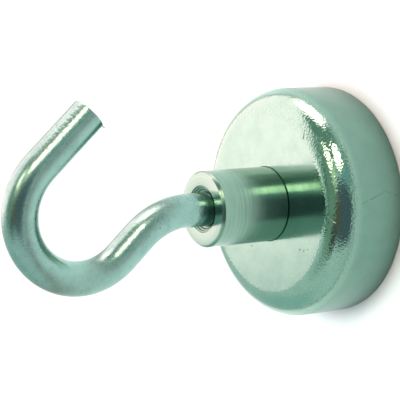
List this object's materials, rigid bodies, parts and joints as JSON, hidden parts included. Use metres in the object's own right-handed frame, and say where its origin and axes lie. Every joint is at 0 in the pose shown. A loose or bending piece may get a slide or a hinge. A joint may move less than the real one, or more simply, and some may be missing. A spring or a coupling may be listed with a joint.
{
  "type": "hook magnet",
  "caption": "Round pot magnet with a rounded shoulder, a threaded stem on its back and an open screw-in wire hook.",
  "frame": {"origin": "centre of the round working face", "axes": "+Z along the magnet's axis from the working face to the hook; +X towards the hook's tip; the hook lies in the XZ plane"},
  "size_m": [0.025, 0.025, 0.0397],
  "materials": {
    "pot_plating": "bright nickel plate over a tumbled steel cup, slightly grainy",
    "boss_turned": "bright nickel plate over fine turning marks",
    "hook_plating": "bright plate over drawn wire, slightly grainy",
    "magnet_plating": "smooth bright nickel plate",
    "glue": "cured adhesive film",
    "resin": "cast black epoxy, slightly sunk"
  },
  "bodies": {
    "magnet": {"pot_shell": "pot_plating", "threaded_boss": "boss_turned", "magnet_disc": "magnet_plating", "glue_layer": "glue", "resin_ring": "resin"},
    "hook": {"screw_hook": "hook_plating"}
  },
  "joints": [
    {"name": "hook_turn", "type": "hinge", "parent": "magnet", "child": "hook", "pos_m": [0, 0, 0.0125], "axis": [0, 0, 1], "range_deg": [0, 270]}
  ]
}
